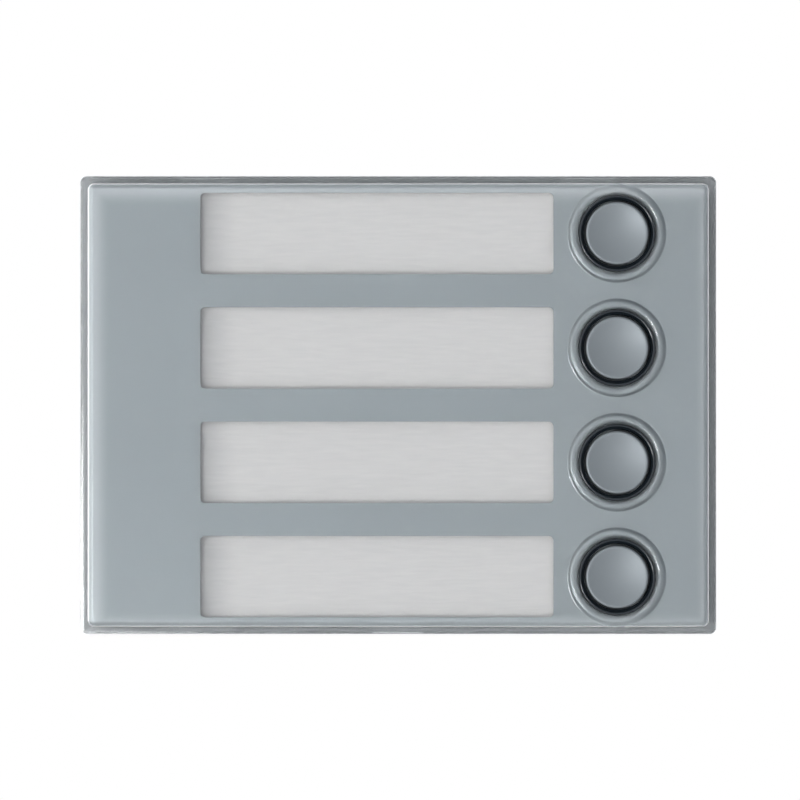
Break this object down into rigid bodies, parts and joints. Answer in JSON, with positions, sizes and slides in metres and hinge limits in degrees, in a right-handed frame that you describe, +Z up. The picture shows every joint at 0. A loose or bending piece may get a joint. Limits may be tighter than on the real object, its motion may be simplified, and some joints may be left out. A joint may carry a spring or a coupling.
{
  "type": "door intercom call module",
  "caption": "Flat door intercom panel with lit name windows on the left, each with a round sprung call button on the right.",
  "frame": {"origin": "centre of the seat plane, where the rear flange rests on the mounting frame", "axes": "+X to the right and +Z up as a visitor faces the panel; +Y back into the wall"},
  "size_m": [0.1, 0.0233, 0.072],
  "materials": {
    "clear_cover": "clear glossy moulded plastic",
    "silver_foil": "satin silver-grey coated foil",
    "card_paper": "blank matt card",
    "opal_plastic": "opal diffusing plastic",
    "frame_plastic": "dark grey moulded plastic, fine grain",
    "ring_plastic": "polished black plastic",
    "cap_plastic": "satin silver-grey paint on plastic",
    "boot_silicone": "soft translucent grey silicone",
    "switch_plastic": "black moulded plastic",
    "tin_plate": "tinned sheet metal",
    "board_laminate": "glass-fibre laminate with green solder mask",
    "lamp_white": "white lamp bodies with a yellow phosphor window",
    "chip_epoxy": "black moulded epoxy",
    "socket_plastic": "ivory moulded plastic",
    "contact_metal": "gold-flashed contacts",
    "housing_plastic": "black moulded plastic, fine grain",
    "gasket_foam": "closed-cell foam rubber",
    "insert_brass": "turned brass",
    "screw_steel": "zinc-plated steel"
  },
  "bodies": {
    "root": {"front_cover": "clear_cover", "decor_foil": "silver_foil", "name_card_1": "card_paper", "name_card_2": "card_paper", "name_card_3": "card_paper", "name_card_4": "card_paper", "light_guide_1": "opal_plastic", "light_guide_2": "opal_plastic", "light_guide_3": "opal_plastic", "light_guide_4": "opal_plastic", "card_frame": "frame_plastic", "button_ring_1": "ring_plastic", "button_ring_2": "ring_plastic", "button_ring_3": "ring_plastic", "button_ring_4": "ring_plastic", "button_boot_1": "boot_silicone", "button_boot_2": "boot_silicone", "button_boot_3": "boot_silicone", "button_boot_4": "boot_silicone", "switch_base_1": "switch_plastic", "switch_base_2": "switch_plastic", "switch_base_3": "switch_plastic", "switch_base_4": "switch_plastic", "switch_plates": "tin_plate", "chip_legs": "tin_plate", "switch_board": "board_laminate", "backlight_lamps": "lamp_white", "control_chip": "chip_epoxy", "link_socket_1": "socket_plastic", "link_socket_2": "socket_plastic", "link_contacts_1": "contact_metal", "link_contacts_2": "contact_metal", "rear_housing": "housing_plastic", "rear_gasket": "gasket_foam", "frame_inserts": "insert_brass", "case_screws": "screw_steel", "board_screws": "screw_steel"},
    "button_1": {"button_cap_1": "cap_plastic"},
    "button_2": {"button_cap_2": "cap_plastic"},
    "button_3": {"button_cap_3": "cap_plastic"},
    "button_4": {"button_cap_4": "cap_plastic"},
    "plunger_1": {"switch_plunger_1": "switch_plastic"},
    "plunger_2": {"switch_plunger_2": "switch_plastic"},
    "plunger_3": {"switch_plunger_3": "switch_plastic"},
    "plunger_4": {"switch_plunger_4": "switch_plastic"}
  },
  "joints": [
    {"name": "button_1_press", "type": "slide", "parent": "root", "child": "button_1", "axis": [0, 1, 0], "range_m": [0, 0.001], "stiffness_N_per_m": 1500, "springref_m": -0.0006, "deforming": ["button_boot_1"]},
    {"name": "button_2_press", "type": "slide", "parent": "root", "child": "button_2", "axis": [0, 1, 0], "range_m": [0, 0.001], "stiffness_N_per_m": 1500, "springref_m": -0.0006, "deforming": ["button_boot_2"]},
    {"name": "button_3_press", "type": "slide", "parent": "root", "child": "button_3", "axis": [0, 1, 0], "range_m": [0, 0.001], "stiffness_N_per_m": 1500, "springref_m": -0.0006, "deforming": ["button_boot_3"]},
    {"name": "button_4_press", "type": "slide", "parent": "root", "child": "button_4", "axis": [0, 1, 0], "range_m": [0, 0.001], "stiffness_N_per_m": 1500, "springref_m": -0.0006, "deforming": ["button_boot_4"]},
    {"name": "plunger_1_press", "type": "slide", "parent": "root", "child": "plunger_1", "axis": [0, 1, 0], "range_m": [0, 0.00025]},
    {"name": "plunger_2_press", "type": "slide", "parent": "root", "child": "plunger_2", "axis": [0, 1, 0], "range_m": [0, 0.00025]},
    {"name": "plunger_3_press", "type": "slide", "parent": "root", "child": "plunger_3", "axis": [0, 1, 0], "range_m": [0, 0.00025]},
    {"name": "plunger_4_press", "type": "slide", "parent": "root", "child": "plunger_4", "axis": [0, 1, 0], "range_m": [0, 0.00025]}
  ],
  "couplings": [
    {"joint": "plunger_1_press", "follows": "button_1_press", "ratio": 0.25},
    {"joint": "plunger_2_press", "follows": "button_2_press", "ratio": 0.25},
    {"joint": "plunger_3_press", "follows": "button_3_press", "ratio": 0.25},
    {"joint": "plunger_4_press", "follows": "button_4_press", "ratio": 0.25}
  ]
}
